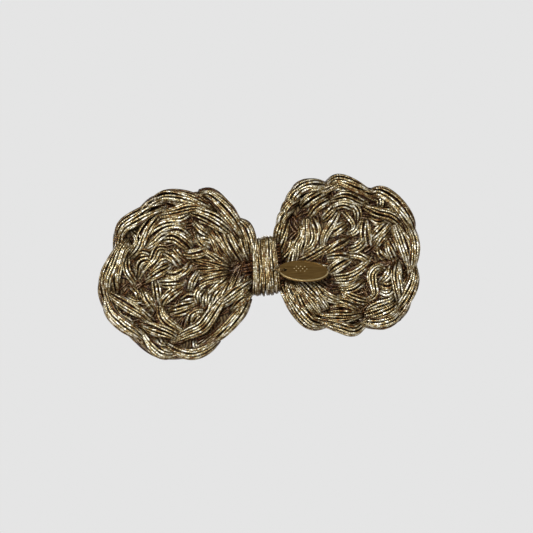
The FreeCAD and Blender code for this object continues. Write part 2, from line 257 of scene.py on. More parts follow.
THREAD = thread_material()
SHADED_PACK_THREAD = packed_material()
NICKEL = metal_material("nickel_plate", (0.52, 0.50, 0.47), (0.68, 0.66, 0.62), 0.33, 0.45, 2600.0)
SPRING_STEEL = metal_material("spring_steel", (0.30, 0.29, 0.28), (0.52, 0.50, 0.47), 0.30, 0.4, 3200.0)
BRASS = metal_material("antique_brass", (0.135, 0.078, 0.024), (0.215, 0.132, 0.044), 0.42, 0.6, 2200.0)
# Paler brass, for the tag's worn raised beads and, as painted highlight, for the lower half of its border.
LIT_AND_WORN_BRASS = metal_material("lit_and_worn_brass", (0.44, 0.33, 0.15), (0.66, 0.53, 0.28), 0.30, 0.3, 2600.0)
GLUE = glue_material()


# -------- thread geometry

def distances(path):
    """How far along a path each of its points lies."""
    return np.concatenate([[0], np.cumsum(np.linalg.norm(np.diff(path, axis=0), axis=1))])


def respace(path, step):
    """The same path with its points evenly spaced, by about step."""
    run = distances(path)
    count = max(6, int(round(run[-1] / step)) + 1)
    want = np.linspace(0, run[-1], count)
    return np.column_stack([np.interp(want, run, path[:, k]) for k in range(3)])


def smooth_path(points, step=SAMPLE_STEP):
    """Points along a Catmull-Rom curve through the given ones, evenly spaced by about step."""
    points = np.asarray(points, float)
    padded = np.vstack([2 * points[0] - points[1], points, 2 * points[-1] - points[-2]])
    t = np.linspace(0, 1, 24, endpoint=False)[:, None]
    dense = [0.5 * (2 * b + (c - a) * t + (2 * a - 5 * b + 4 * c - d) * t**2
                    + (3 * b - a - 3 * c + d) * t**3)
             for a, b, c, d in zip(padded, padded[1:], padded[2:], padded[3:])]
    return respace(np.vstack(dense + [points[-1:]]), step)


def unit(rows):
    return rows / np.maximum(np.linalg.norm(rows, axis=-1, keepdims=True), 1e-9)


def wander(rng, count, amount):
    """A smooth random run of numbers within about plus or minus amount."""
    values = rng.uniform(-amount, amount, DRIFT_KNOTS)
    return np.interp(np.linspace(0, DRIFT_KNOTS - 1, count), np.arange(DRIFT_KNOTS), values)


def cross_sections(path, closed, sides):
    """Circles of radius one square to a path, each carried on from the last without turning."""
    if closed:
        tangent = unit(np.roll(path, -1, axis=0) - np.roll(path, 1, axis=0))
    else:
        tangent = unit(np.gradient(path, axis=0))
    steep = abs(tangent[0] @ FRONT) >= 0.9
    side = np.cross(tangent[0], np.array([1.0, 0, 0]) if steep else FRONT)
    sideways = np.empty((len(path), 3))
    for k in range(len(path)):
        side = side - (side @ tangent[k]) * tangent[k]
        side = side / np.linalg.norm(side)
        sideways[k] = side
    upward = np.cross(tangent, sideways)
    angle = np.linspace(0, 2 * math.pi, sides, endpoint=False)[None, :, None]
    return np.cos(angle) * sideways[:, None, :] + np.sin(angle) * upward[:, None, :]


class Threads:
    """Tubes gathered into one mesh. Each point carries its strand's tint, its distance along the
    strand, and its painted shade: dark where it faces into its bundle, so that the grooves between
    strands are painted dark, and darker still in stitches deeper in the work."""

    def __init__(self, seed):
        self.rng = np.random.default_rng(seed)
        self.corners = []
        self.faces = []
        self.values = {"tint": [], "along": [], "ridge": []}
        self.count = 0

    def tube(self, path, radius, closed=False, tint=None, outward=None, shade=1.0, sides=STRAND_SIDES):
        """One round strand along path, in millimetres; outward points away from its bundle's middle."""
        n = len(path)
        ring = cross_sections(path, closed, sides)
        self.corners.append((path[:, None, :] + radius * ring).reshape(-1, 3))
        tint = self.rng.uniform() if tint is None else tint
        # Ridge: painted shade, full where the strand faces out of its bundle and dark in the grooves,
        # times shade.
        facing = 1.0 if outward is None else (ring * unit(outward)[:, None, :]).sum(axis=2)
        shade = np.broadcast_to(shade, (n,))[:, None]
        self.values["tint"].append(np.full(n * sides, tint))
        self.values["along"].append(np.repeat(distances(path) + self.rng.uniform(0, 400), sides))
        self.values["ridge"].append((shade * (0.5 + 0.5 * facing) * np.ones((n, sides))).ravel())
        self.skin(n, sides, closed)

    def skin(self, n, sides, closed):
        """The faces between a tube's n rings, and its two ends if it has any."""
        start, last = self.count, self.count + (n - 1) * sides
        for k in range(n if closed else n - 1):
            a, b = start + k * sides, start + ((k + 1) % n) * sides
            for j in range(sides):
                i = (j + 1) % sides
                self.faces.append((a + j, a + i, b + i, b + j))
        if not closed:
            self.faces.append(tuple(start + j for j in reversed(range(sides))))
            self.faces.append(tuple(last + j for j in range(sides)))
        self.count += n * sides

    def bundle(self, points, width, thick, facing=1, lean=None, pinch=(0.45, 0.45), shade=1.0,
               ends=0.62, last_shade=1.0, sides=STRAND_SIDES, step=SAMPLE_STEP):
        """Parallel strands laid side by side round a flat oval section, as in one crochet stitch.
        Facing is 1 on the face of the work and -1 on its back. Pinch is how far each end narrows.
        Shade under 1 paints the stitch darker, as painted shade deeper in the work; ends is the painted
        shade where the stitch dives under others, and last_shade the painted shade at its last end."""
        rng = self.rng
        centre = smooth_path(points, step)
        n = len(centre)
        t = np.linspace(0, 1, n)
        tangent = unit(np.gradient(centre, axis=0))
        away = np.zeros((n, 3)) if lean is None else lean(centre)
        across = unit(np.cross(tangent, unit(FRONT * facing + away)))
        upward = unit(np.cross(across, tangent))
        # Painted shade on the strands on the rim's outer side.
        outer_side = EDGE_SHADE * (across * away).sum(axis=1)
        narrow = pinch[0] + (pinch[1] - pinch[0]) * t
        spread = narrow + (1 - narrow) * np.sin(math.pi * t) ** 0.7
        # Painted shade towards the stitch's ends and at its last end.
        shadow = shade * (ends + (1 - ends) * np.sin(math.pi * t) ** 0.35)
        shadow = shadow * (1 - (1 - last_shade) * t**2)
        half_width = (width / 2 - STRAND) * spread
        half_thick = (thick / 2 - STRAND) * (0.35 + 0.65 * spread)
        turn = rng.uniform(-TWIST, TWIST)
        phase = rng.uniform(0, 2 * math.pi)
        tone = rng.uniform(0.25, 0.75)
        strands = max(4, round((width + thick - 4 * STRAND) * math.pi / 2 / STRAND_PITCH))
        for k in range(strands):
            angle = phase + 2 * math.pi * (k + rng.uniform(-0.2, 0.2)) / strands + turn * (t - 0.5) * 2
            if k % 5 == 4:
                angle = angle + np.linspace(-CROSSING, CROSSING, n) * rng.choice([-1, 1])
            cos, sin = np.cos(angle), np.sin(angle)
            offset = half_width * cos + wander(rng, n, DRIFT_ACROSS)
            height = half_thick * sin + wander(rng, n, DRIFT_DEPTH)
            self.tube(centre + across * offset[:, None] + upward * height[:, None],
                      STRAND * rng.uniform(THINNEST, THICKEST),
                      tint=tone + rng.uniform(-TINT_SPREAD, TINT_SPREAD),
                      outward=across * (0.5 * cos)[:, None] + upward * (0.3 * np.sign(sin) + sin)[:, None],
                      shade=shadow * (1 - np.maximum(outer_side * cos, 0)), sides=sides)

    def mesh(self, name):
        mesh = bpy.data.meshes.new(name)
        mesh.from_pydata((np.vstack(self.corners) * MM).tolist(), [], self.faces)
        for label, values in self.values.items():
            attribute = mesh.attributes.new(label, "FLOAT", "POINT")
            attribute.data.foreach_set("value", np.concatenate(values).astype(np.float32))
        mesh.shade_smooth()
        mesh.update()
        return mesh

    def piece(self, name, body, *nodes):
        """The finished thread object, standing for the named CAD nodes."""
        return place_piece(self.mesh(name), name, THREAD, "thread", body, *nodes)


def new_object(name, data):
    thing = bpy.data.objects.new(name, data)
    bpy.context.scene.collection.objects.link(thing)
    return thing


def finished_mesh(name, work):
    mesh = bpy.data.meshes.new(name)
    work.to_mesh(mesh)
    work.free()
    mesh.shade_smooth()
    return mesh


def place_piece(mesh, name, material, slot, body, *nodes):
    """An object for a mesh, riding on its body and standing for its CAD nodes."""
    thing = new_object(name, mesh)
    mesh.materials.append(material)
    if body:
        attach(thing, body)
    if nodes:
        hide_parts(*nodes)
    return thing


# -------- crocheted lobes

# Every stitch is a bundle: its width, then pairs that give points on its middle line, to the right of
# and above the middle of its lobe's CAD box, all in millimetres. Edging stitches have an outer and an
# inner leg, which meet in a point under the next pair.
LEFT_EDGING_OUTER = [
    (3.2, 16.8, 11.9, 19.1, 9.9, 19.9, 6.3, 19.4, 2.3),
    (4.0, 8.6, 19.2, 11.6, 18.7, 14.7, 14.8, 16.8, 10.5, 17.9, 6.3),
    (3.6, -3.2, 18.3, 0.4, 19.6, 4.8, 18.9, 8.6, 17.3, 12.2, 14.7),
    (4.2, -12.4, 9.7, -10.4, 13.3, -6.7, 15.3, -3.4, 16.7, 0.6, 17.5),
    (3.8, -16.9, -3.1, -16.1, 1.3, -13.9, 4.9, -11.6, 8.3, -9.6, 10.1),
    (3.6, -16.9, -2.3, -16.0, -6.8, -13.4, -10.1, -10.5, -12.5, -8.4, -14.5),
    (3.2, -9.4, -11.9, -7.8, -15.1, -5.6, -17.6, -3.4, -18.6, -1.0, -18.3),
    (3.2, -4.2, -15.9, -0.8, -18.3, 2.8, -19.3, 6.2, -18.4, 9.2, -16.5),
    (3.4, 5.8, -16.9, 9.7, -15.1, 13.0, -12.8, 15.7, -10.4, 17.8, -7.5),
]
LEFT_EDGING_INNER = [
    (3.8, 5.6, 15.3, 9.4, 13.7, 12.6, 11.5, 16.2, 8.1),
    (3.2, -1.8, 15.0, 2.2, 15.6, 6.2, 16.6, 9.2, 16.1, 12.0, 14.5),
    (3.0, -10.4, 5.9, -7.8, 7.9, -6.2, 10.7, -4.0, 13.5, -0.8, 15.7),
    (3.2, -14.1, -2.5, -14.0, 1.3, -12.8, 4.9, -11.0, 7.7, -8.8, 9.1),
    (3.2, -16.4, -2.4, -12.8, -4.9, -9.2, -7.5, -5.8, -10.7),
    (3.4, -9.6, -10.7, -5.6, -12.3, -2.2, -13.6, 0.4, -15.5),
    (3.4, -2.6, -15.9, 2.0, -14.3, 5.8, -13.0, 8.6, -10.1, 10.8, -7.5, 13.4, -5.5),
    (3.0, 10.4, -8.5, 13.2, -6.7, 16.2, -4.7, 19.2, -3.1),
    (2.6, 13.2, -10.3, 15.4, -8.1, 18.4, -5.9),
    (2.4, -8.8, 12.3, -7.4, 10.1, -8.4, 7.3),
]
LEFT_OUTER_FAN = [
    (3.2, -1.6, 9.0, 1.4, 9.4, 3.8, 7.9, 5.4, 6.3),
    (2.4, 0.0, 11.2, 2.8, 11.0, 5.6, 8.5),
    (3.2, -7.8, -0.1, -5.4, 2.8, -3.7, 4.7, -2.6, 6.9, 0.0, 6.7),
    (2.6, -1.8, 5.9, 0.4, 4.7, 2.4, 2.3),
    (1.6, 0.8, 7.5, 1.9, 5.8, 3.0, 3.9),
    (2.8, -6.6, -0.7, -3.2, 1.5, 0.0, 3.1),
    (1.8, -4.0, 2.5, -2.2, 4.1, -0.4, 4.1),
    (2.8, -2.1, 1.4, 0.4, 0.2, 3.0, 0.9, 5.2, 2.8),
    (3.2, -3.8, -0.9, -0.6, -1.3, 3.2, -1.6),
    (2.8, 2.4, -2.6, -0.6, -3.9, -2.8, -5.6, -3.4, -6.9),
    (2.4, 6.6, 0.7, 4.7, -1.5, 3.6, -4.1),
    (3.4, -2.2, -8.8, 1.4, -8.1, 5.0, -7.1),
    (2.0, 1.2, -5.9, 3.2, -5.3, 5.2, -5.6),
    (2.8, -3.8, -6.5, -3.7, -9.0, -2.0, -11.5, 1.2, -14.1),
    (2.6, -4.4, -0.1, -4.2, -3.0, -4.4, -6.1),
    (2.4, -7.8, -1.9, -6.8, -4.7, -5.4, -7.9),
    (1.8, -10.6, -1.3, -9.0, -3.1, -8.8, -5.5),
    (1.8, -11.4, -3.3, -9.8, -4.9, -7.4, -5.3),
    (2.2, -10.3, 5.9, -10.7, 2.7, -9.4, -1.1),
    (2.0, -8.6, 5.3, -6.6, 6.6, -4.2, 5.7),
    (2.2, -8.6, 1.1, -7.6, 3.9, -5.6, 4.7, -4.2, 3.5),
    (2.4, -6.2, 6.9, -3.8, 8.5, -1.6, 10.4, 0.6, 11.1),
    (2.8, -5.6, 9.1, -3.2, 11.2, -0.6, 12.5, 2.2, 12.8, 5.2, 11.9),
    (2.2, 0.2, 14.1, 3.4, 13.6, 6.2, 14.7),
    (2.2, 6.2, 13.1, 8.2, 10.5, 10.2, 8.5),
    (2.0, 2.4, -12.5, 3.2, -10.1, 5.2, -9.1, 7.0, -9.7),
    (1.8, 4.2, -12.7, 5.4, -11.1, 7.2, -11.1),
    (2.0, 6.8, 9.6, 7.8, 7.3, 9.8, 5.9),
    (2.6, 3.2, 5.1, 6.6, 4.9, 10.0, 5.7),
    (1.8, 5.8, 7.5, 8.4, 8.0, 11.0, 7.1),
    (1.8, 3.2, -16.1, 3.4, -17.5, 4.6, -18.9),
    (2.0, -5.4, -14.5, -5.0, -16.1, -3.2, -17.3),
    (1.8, -15.0, -4.9, -13.8, -7.7, -11.2, -10.9),
    (2.0, -14.2, -7.1, -12.2, -9.5, -10.0, -11.1),
    (2.4, 5.2, -7.1, 5.5, -4.9, 7.3, -3.5),
    (2.2, 7.0, -8.7, 7.4, -6.5, 8.6, -4.5),
    (2.2, 7.8, -10.2, 8.2, -8.5, 9.0, -6.9),
]
LEFT_INNER_FAN = [
    (2.0, 10.3, 9.9, 12.5, 6.4, 14.2, 3.3, 15.3, 1.1),
    (1.7, 9.9, 9.2, 11.0, 6.6, 11.8, 4.3, 13.6, 1.9, 14.6, 0.5),
    (1.9, 11.0, 10.4, 12.4, 7.7, 14.0, 4.9, 15.6, 1.3),
    (2.0, 13.4, 10.7, 14.2, 8.1, 15.0, 5.6, 16.6, 2.7, 17.8, 0.5),
    (1.9, 14.8, 10.1, 15.6, 7.3, 16.6, 4.6, 18.1, 1.5),
    (1.7, 17.4, 8.9, 17.8, 5.7, 18.4, 3.1, 19.2, 0.9),
    (2.0, 7.6, 5.6, 10.2, 3.9, 13.1, 1.5, 14.6, 0.4),
    (2.2, 6.0, 3.1, 9.2, 2.3, 12.5, 1.1, 14.8, 0.1),
    (2.2, 6.4, 0.9, 9.4, 0.4, 12.2, 0.1, 14.6, -0.4),
    (2.0, 6.2, -1.7, 9.2, -1.1, 12.4, -0.8, 14.4, -0.6),
    (2.0, 5.6, -3.9, 8.2, -2.6, 11.2, -2.0, 13.8, -1.1),
    (2.0, 8.0, -5.3, 10.3, -3.6, 12.5, -2.4, 14.2, -1.0),
    (2.0, 9.2, -8.3, 9.9, -6.1, 11.4, -4.4, 13.6, -2.3),
    (2.0, 11.2, -7.7, 12.0, -5.5, 13.4, -3.7, 14.8, -1.7),
    (2.0, 13.0, -7.1, 13.6, -5.1, 14.8, -3.2, 15.8, -1.3),
    (2.0, 14.0, -6.7, 15.2, -4.7, 16.4, -2.9, 17.2, -1.2),
    (1.9, 15.8, -5.3, 17.4, -3.2, 18.6, -1.5),
    (2.0, 14.4, -7.7, 16.2, -6.0, 17.8, -4.7, 19.2, -3.7),
    (1.9, 16.2, -8.3, 17.6, -6.9, 19.0, -5.7),
]
RIGHT_EDGING_OUTER = [
    (2.8, -17.7, 5.2, -16.8, 8.2, -14.7, 11.2),
    (2.8, -16.8, 8.0, -15.5, 11.4, -12.5, 13.4),
    (2.8, -15.7, 10.6, -13.9, 14.0, -10.7, 15.4),
    (2.8, -14.3, 13.2, -12.3, 16.4, -9.1, 17.2),
    (3.6, -12.9, 16.0, -10.3, 17.8, -7.3, 18.1, -3.5, 17.0),
    (3.6, -4.3, 17.4, -1.1, 18.7, 3.1, 16.3, 7.9, 12.4),
    (3.8, 5.9, 14.5, 8.8, 14.5, 12.3, 11.3, 14.7, 6.8, 15.3, 4.0),
    (2.8, 14.5, 6.2, 15.5, 2.2, 14.9, -2.0, 13.7, -5.8),
    (3.4, 14.7, -3.6, 14.1, -7.6, 11.9, -11.9, 9.3, -14.8),
    (3.2, 10.5, -14.2, 8.1, -16.4, 4.3, -17.1, -0.3, -16.0),
    (3.4, 1.7, -16.4, -1.7, -18.0, -5.3, -16.6, -9.5, -14.7),
    (3.6, -7.7, -15.9, -11.6, -15.3, -14.6, -11.8, -17.4, -6.6),
]
RIGHT_EDGING_INNER = [
    (3.0, -11.1, 13.4, -7.9, 15.0, -3.9, 16.0),
    (3.0, -3.5, 14.0, 0.3, 14.6, 5.7, 12.0),
    (3.0, 4.1, 11.6, 7.3, 9.7, 11.1, 8.2, 14.7, 4.0),
    (4.0, 11.3, 6.6, 12.5, 2.6, 13.5, -1.2, 14.0, -5.0),
    (3.0, 11.1, -2.6, 10.1, -5.6, 10.3, -9.4, 10.7, -13.2),
    (3.0, 10.9, -12.6, 6.9, -14.4, 1.3, -15.0),
    (3.0, 1.1, -14.4, -3.3, -15.0, -7.9, -14.6, -11.7, -13.2),
    (3.4, -10.5, -15.0, -13.3, -10.6, -14.9, -5.6),
]
RIGHT_OUTER_FAN = [
    (2.4, -6.7, 3.0, -6.1, 5.4, -4.1, 7.8, -1.7, 11.0),
    (2.8, -5.5, 5.4, -2.7, 6.8, 0.3, 8.0),
    (1.8, -1.1, 11.4, 0.2, 9.5, 1.1, 7.4, 0.3, 5.6),
    (2.8, -6.9, 1.4, -3.7, 2.8, -0.1, 4.2),
    (2.6, -0.7, 1.2, 1.9, 2.0, 3.9, 4.2),
    (3.2, 4.1, 9.0, 3.9, 5.2, 4.6, 1.0),
    (3.2, 5.3, 3.4, 7.7, 5.2, 10.5, 7.2),
    (2.2, 5.9, 1.2, 7.5, 3.0, 9.5, 4.4),
    (2.6, 9.2, 3.4, 9.5, 0.4, 10.1, -2.6),
    (2.2, 6.5, 1.4, 7.1, -0.6, 8.9, -2.2),
    (2.8, -6.1, -3.6, -3.5, -2.0, -0.1, -0.7),
    (2.6, -5.5, -5.0, -1.3, -4.7, 2.3, -3.0, 4.9, -0.8),
    (2.4, -6.3, 0.0, -3.1, 0.4, -0.3, -0.2),
    (2.2, -0.3, 0.2, 2.3, -0.6, 4.1, -2.4),
    (2.6, 2.5, -11.5, 4.6, -10.0, 4.3, -7.2, 4.3, -5.0, 5.9, -3.5, 8.1, -4.4),
    (2.8, -4.3, -7.6, -0.9, -7.9, 2.7, -6.4),
    (2.4, -3.5, -8.2, -0.1, -10.4, 2.9, -11.6),
    (2.4, 5.9, -7.1, 7.9, -5.8, 9.7, -3.4),
    (2.2, 5.3, -9.2, 7.5, -10.1, 9.5, -8.8),
    (2.0, 5.7, -7.8, 7.9, -8.2, 9.7, -6.8),
    (2.6, 2.1, -13.4, 5.5, -12.6, 9.1, -12.2),
    (2.0, 4.9, -11.2, 7.3, -11.6, 9.5, -10.8),
    (2.6, -7.3, -12.6, -2.7, -12.4, 0.9, -14.0),
    (2.4, -3.3, 12.2, -0.5, 12.7, 2.9, 11.2),
    (2.0, 1.3, 12.8, 2.7, 10.6, 2.3, 8.2),
    (2.6, -9.3, 10.6, -6.9, 12.8, -3.3, 14.0),
    (2.2, -6.3, 9.2, -4.1, 11.0, -2.1, 13.2),
    (2.0, -0.5, 5.4, 1.5, 5.8, 2.9, 7.6),
    (2.2, 5.7, 9.0, 7.1, 7.4, 9.5, 7.4),
    (2.4, -8.1, 4.2, -7.5, 7.2, -8.5, 10.2),
    (2.0, 7.9, 13.8, 8.5, 12.2, 8.1, 10.4),
    (2.2, -5.1, -9.6, -2.7, -11.0, -0.1, -12.2),
    (2.2, -4.7, -6.0, -1.7, -6.2, 1.3, -5.0),
    (2.0, 10.9, -9.8, 12.3, -7.6, 13.9, -5.6),
    (2.0, -2.9, 16.6, -1.3, 17.2, 0.9, 16.4),
]
RIGHT_INNER_FAN = [
    (2.0, -17.4, 4.2, -16.8, 6.6, -16.2, 9.4),
    (2.1, -17.6, 1.4, -16.6, 3.8, -15.6, 6.4, -14.6, 9.8),
    (2.4, -17.5, -0.4, -16.2, 1.4, -14.7, 2.9, -13.6, 5.6),
    (2.1, -16.2, -1.3, -15.1, 0.0, -14.2, 2.3, -13.2, 4.5),
    (2.4, -14.9, -0.6, -13.4, 1.4, -12.7, 4.0, -11.3, 6.2, -11.4, 8.8),
    (2.5, -13.8, -0.4, -11.7, 2.9, -10.6, 5.8, -9.9, 10.4),
    (2.4, -12.1, 0.2, -11.0, 2.3, -9.3, 3.2, -8.2, 5.6, -8.8, 8.4),
    (2.8, -15.3, -0.8, -10.1, 1.0, -5.5, 3.0),
    (2.8, -15.3, -1.6, -10.1, -1.6, -5.7, -2.6),
    (2.4, -15.5, -2.4, -12.2, -5.6, -9.6, -8.6, -7.2, -12.4),
    (2.2, -15.7, -2.6, -13.3, -6.4, -10.7, -10.6, -9.2, -13.6),
    (2.4, -15.9, -2.8, -14.6, -6.9, -13.5, -9.3, -12.9, -14.2),
    (2.4, -16.5, -3.2, -15.9, -6.9, -15.0, -9.3, -14.4, -13.4),
    (2.0, -14.2, -3.2, -9.8, -6.4, -8.1, -8.8, -6.0, -10.8),
    (2.6, -9.5, -5.6, -6.9, -9.0, -3.7, -11.0),
    (2.2, -17.5, -2.8, -17.2, -6.6, -15.9, -11.2),
]


def lifted(path, level, rise, dive, facing, rng, sink=0.0):
    """Puts a stitch's flat line at its depth: ends dive into the work, the last one by sink more, and
    the middle stands proud."""
    path = np.asarray(path, float)
    t = np.linspace(0, 1, len(path))
    arch = np.sin(math.pi * t) ** 0.6
    height = level + facing * (rise * arch - dive * (1 - arch) - sink * t**3 + rng.uniform(-0.15, 0.25))
    return np.column_stack([path[:, 0], -height, path[:, 1]])


def add_stitches(threads, stitches, level, rise, dive, facing=1, rounding=None, thick=1.6, sink=0.0,
                 **shape):
    """Bundles at one level; rounding is the lobe's centre when the stitches' faces lean out from it."""
    def lean(points):
        return RIM_LEAN * unit((points - [rounding[0], 0, rounding[1]]) * [1, 0, 1])
    for width, *points in stitches:
        path = lifted(points, level, rise, dive, facing, threads.rng, sink)
        threads.bundle(path, width, min(thick, 0.8 * width), facing=facing,
                       lean=None if rounding is None else lean, **shape)


def wrapped(angle):
    return math.atan2(math.sin(angle), math.cos(angle))


def outline_of(node, centre):
    """Reach of a CAD node's outline from centre, as a function of angle."""
    points = np.array([v.co for v in frame["nodes"][node].data.vertices]) / MM
    dx = points[:, 0] - centre[0]
    dz = points[:, 2] - centre[1]
    radius = np.hypot(dx, dz)
    sectors = 60
    edges = np.linspace(-math.pi, math.pi, sectors + 1)
    which = np.digitize(np.arctan2(dz, dx), edges) - 1
    middle = (edges[:-1] + edges[1:]) / 2
    known = [k for k in range(sectors) if (which == k).any()]
    reach = [radius[which == k].max() for k in known]
    return lambda angle: np.interp(angle, middle[known], reach, period=2 * math.pi)


def at_reach(centre, radius, angle):
    """A spot in the plane of the work, by its distance and direction from centre."""
    return np.array([centre[0] + radius * math.cos(angle), centre[1] + radius * math.sin(angle)])


def fill_stitches(rng, centre, fan_centre, reach):
    """Short slanting stitches over the whole lobe, alternately leaning each way as rows of trebles do."""
    spacing, length, width = 3.0, 6.4, 2.7
    row_pitch, last_row, margin = 0.92 * spacing, 22, 1.9
    stitches = []
    radius = 0.4 * spacing
    row = 0
    while radius < last_row:
        count = max(3, int(2 * math.pi * radius / spacing))
        for k in range(count):
            angle = 2 * math.pi * (k + 0.5 * (row % 2)) / count + rng.uniform(-0.06, 0.06)
            spot = at_reach(centre, radius, angle)
            radial = math.atan2(spot[1] - fan_centre[1], spot[0] - fan_centre[0])
            turn = radial + math.radians(rng.uniform(12, 48)) * (1 if (row + k) % 2 else -1)
            along = np.array([math.cos(turn), math.sin(turn)]) * length * rng.uniform(0.4, 0.6)
            bend = np.array([-along[1], along[0]]) * rng.uniform(-0.25, 0.25)
            ends = [end - centre for end in (spot - along, spot + along)]
            if all(np.hypot(*end) < reach(math.atan2(end[1], end[0])) - margin for end in ends):
                stitches.append((width, spot - along, spot + bend, spot + along))
        radius += row_pitch
        row += 1
    return stitches


def inner_pack(name, centre, reach):
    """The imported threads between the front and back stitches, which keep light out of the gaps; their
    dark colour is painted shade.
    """
    rings, spokes, half_depth, uneven, margin = 14, 72, 0.45, 0.05, 2.0
    rng = np.random.default_rng(len(name))
    middle = (PANEL_FACE + PANEL_BACK) / 2
    corners, faces = [], []
    for side in (-1, 1):
        for i in range(rings + 1):
            share = i / rings
            for j in range(spokes):
                angle = 2 * math.pi * j / spokes
                x, z = at_reach(centre, share * (reach(wrapped(angle)) - margin), angle)
                depth = half_depth * math.sqrt(max(0.0, 1 - share**6)) + rng.uniform(-uneven, uneven)
                corners.append((MM * x, MM * (side * depth - middle), MM * z))
    sheet, rim = (rings + 1) * spokes, rings * spokes
    strips = [(i * spokes, (i + 1) * spokes) for i in range(rings)]
    strips += [(sheet + a, sheet + b) for a, b in strips] + [(rim, sheet + rim)]
    for a, b in strips:
        for j in range(spokes):
            k = (j + 1) % spokes
            faces.append((a + j, a + k, b + k, b + j))
    shell = bpy.data.meshes.new(name)
    shell.from_pydata(corners, [], faces)
    work = bmesh.new()
    work.from_mesh(shell)
    bpy.data.meshes.remove(shell)
    bmesh.ops.remove_doubles(work, verts=work.verts, dist=1e-6)
    bmesh.ops.recalc_face_normals(work, faces=work.faces)
    place_piece(finished_mesh(name, work), name, SHADED_PACK_THREAD, "thread", "root")


def placed(stitches, centre):
    """The stitches moved to their lobe's place, a little inside its CAD outline."""
    fit = 0.994
    return [(width, *(centre + fit * np.reshape(pairs, (-1, 2)))) for width, *pairs in stitches]


def turned(stitches, towards):
    """The stitches with each one's last point the nearer to a given spot."""
    result = []
    for width, *points in stitches:
        first, last = (np.hypot(*(np.array(points[k]) - towards)) for k in (0, -1))
        result.append((width, *(points if last < first else points[::-1])))
    return result


def rim_core(threads, centre, reach):
    """Strands running round the rim between its front and back stitches, in arcs that overlap."""
    middle = (EDGING_FACE + EDGING_BACK) / 2
    width, thick, arc, overlap, step = 2.2, 1.8, 30, 4, 5
    for inset, depth in ((2.1, 0.0), (2.5, 1.1), (2.5, -1.1)):
        for start in range(0, 360, arc):
            angles = np.radians(np.arange(start - overlap, start + arc + step, step))
            spots = [at_reach(centre, reach(wrapped(a)) - inset, a) for a in angles]
            if min(abs(x) for x, z in spots) > WAIST_CLEAR:
                path = lifted(spots, middle + depth, 0.0, 0.0, 1, threads.rng)
                # Painted shade on the core deep in the rim.
                threads.bundle(path, width, thick, pinch=(0.8, 0.8), shade=0.8, sides=UNDER_SIDES)


def gathered(fan_centre, centre):
    """Strands that run from a fan's root into the waist, under the fan."""
    width = 2.4
    inward = 1 if fan_centre[0] > centre[0] else -1
    return [(width, fan_centre + (-2.6 * inward, 1.2 * rise), fan_centre + (0.2 * inward, rise),
             fan_centre + (2.8 * inward, 0.8 * rise)) for rise in (-2.6, -1.3, 0.0, 1.3, 2.6)]


# In the next three, a level is that of the stitches' middle lines, set in from the CAD solid's face or
# back, and the two numbers after it are how far they rise above it and dive below it.

def edging(side, outer, inner, centre, reach, seed):
    """The raised rim: an outer and an inner row of loops on both faces, round a core."""
    threads = Threads(seed)
    front, back = EDGING_FACE - 1.4, EDGING_BACK + 1.3
    add_stitches(threads, outer, front, 0.5, 1.5, rounding=centre, thick=2.6, ends=0.50,
                 pinch=(0.32, 0.32))
    add_stitches(threads, inner, front - 0.1, 0.3, 1.4, thick=2.1, shade=0.96, ends=0.48,
                 pinch=(0.35, 0.35))
    add_stitches(threads, outer, back, 0.2, 1.2, -1, rounding=centre, thick=2.6, sides=UNDER_SIDES)
    add_stitches(threads, inner, back, 0.0, 1.2, -1, thick=2.0, sides=UNDER_SIDES)
    rim_core(threads, centre, reach)
    threads.piece(f"{side}_edging_stitches", "root", f"{side}_edging")


def outer_fans(side, stitches, fan_centre, centre, reach, front, back, seed):
    """The outer row of fans on both faces, each over a layer of slanting stitches painted darker as shade.
    """
    threads = Threads(seed)
    under = {"sides": FILL_SIDES, "step": FILL_STEP}
    fill = fill_stitches(threads.rng, centre, fan_centre, reach)
    add_stitches(threads, fill, front - 0.6, 0.2, 0.3, thick=1.3, shade=0.66, **under)
    add_stitches(threads, stitches, front, 0.6, 0.8, thick=1.6)
    fill = fill_stitches(threads.rng, centre, fan_centre, reach)
    add_stitches(threads, fill, back + 0.3, 0.1, 0.2, -1, thick=1.2, shade=0.75, **under)
    add_stitches(threads, stitches, back, 0.2, 0.5, -1, thick=1.5, sides=FILL_SIDES)
    threads.piece(f"{side}_outer_fan_stitches", "root", f"{side}_outer_fan")


def inner_fans(side, stitches, fan_centre, centre, front, back, seed):
    """The inner row of fans, which on the face sinks beside the wrap, painted darker there as shade."""
    threads = Threads(seed)
    add_stitches(threads, turned(stitches, fan_centre), front, 0.5, 0.4, thick=1.8,
                 pinch=(0.6, 0.35), sink=1.3, last_shade=0.56)
    add_stitches(threads, stitches, back, 0.1, 0.4, -1, thick=1.6)
    # Painted shade on the gathered strands under the fan.
    add_stitches(threads, gathered(fan_centre, centre), front - 0.9, 0.1, 0.1, thick=1.2, shade=0.55)
    threads.piece(f"{side}_inner_fan_stitches", "root", f"{side}_inner_fan")


def lobe(side, lists, fan_centre, seed):
    """One lobe: edging, outer fans and inner fans, on both faces, round an inner pack painted dark as
    shade.
    """
    low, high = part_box(f"{side}_edging")
    centre = np.array([(low.x + high.x) / 2 / MM, (low.z + high.z) / 2 / MM])
    outer, inner, outer_fan, inner_fan = (placed(stitches, centre) for stitches in lists)
    reach = outline_of(f"{side}_edging", centre)
    levels = PANEL_FACE - 0.9, PANEL_BACK + 0.7
    edging(side, outer, inner, centre, reach, seed)
    outer_fans(side, outer_fan, fan_centre, centre, reach, *levels, seed + 1)
    inner_fans(side, inner_fan, fan_centre, centre, *levels, seed + 2)
    inner_pack(f"{side}_inner_pack", centre, reach)


